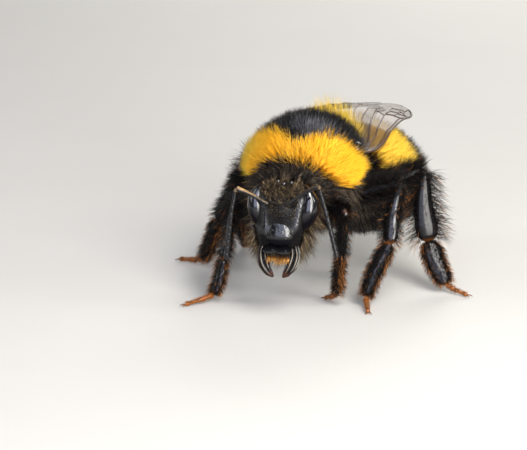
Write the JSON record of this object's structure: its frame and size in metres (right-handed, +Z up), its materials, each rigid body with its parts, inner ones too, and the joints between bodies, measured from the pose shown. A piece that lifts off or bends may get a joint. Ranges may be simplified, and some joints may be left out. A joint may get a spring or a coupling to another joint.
{
  "type": "bumblebee",
  "caption": "Life-size still model of a queen bumblebee standing on its feet, furry, with folded wings.",
  "frame": {"origin": "on the floor, under the middle of the whole bee's box", "axes": "+Z up, -Y the way the bee looks, +X to the bee's left"},
  "size_m": [0.0224, 0.0254, 0.0136],
  "materials": {
    "black_fur": "deep black pile",
    "golden_fur": "golden pile",
    "white_fur": "off-white pile",
    "black_shell": "glossy black shell",
    "eye": "glossy dark brown",
    "feeler": "dull black",
    "leg": "brown-black with hair",
    "foot": "red-brown",
    "wing": "smoky brown film"
  },
  "bodies": {
    "root": {"abdomen_1": "golden_fur", "abdomen_2": "black_fur", "abdomen_3": "black_fur", "abdomen_4": "white_fur", "abdomen_5": "white_fur", "abdomen_6": "black_fur", "clypeus": "black_shell", "eye_left": "eye", "eye_right": "eye", "flagellum_left": "feeler", "flagellum_right": "feeler", "forewing_left": "wing", "forewing_right": "wing", "head": "black_fur", "hindwing_left": "wing", "hindwing_right": "wing", "labrum": "black_shell", "leg_front_left_basitarsus": "leg", "leg_front_left_femur": "leg", "leg_front_left_tarsus": "foot", "leg_front_left_tibia": "leg", "leg_front_right_basitarsus": "leg", "leg_front_right_femur": "leg", "leg_front_right_tarsus": "foot", "leg_front_right_tibia": "leg", "leg_hind_left_basitarsus": "leg", "leg_hind_left_femur": "leg", "leg_hind_left_tarsus": "foot", "leg_hind_left_tibia": "leg", "leg_hind_right_basitarsus": "leg", "leg_hind_right_femur": "leg", "leg_hind_right_tarsus": "foot", "leg_hind_right_tibia": "leg", "leg_middle_left_basitarsus": "leg", "leg_middle_left_femur": "leg", "leg_middle_left_tarsus": "foot", "leg_middle_left_tibia": "leg", "leg_middle_right_basitarsus": "leg", "leg_middle_right_femur": "leg", "leg_middle_right_tarsus": "foot", "leg_middle_right_tibia": "leg", "mandible_left": "black_shell", "mandible_right": "black_shell", "scape_left": "feeler", "scape_right": "feeler", "tegula_left": "black_shell", "tegula_right": "black_shell", "thorax": "golden_fur"}
  },
  "joints": []
}
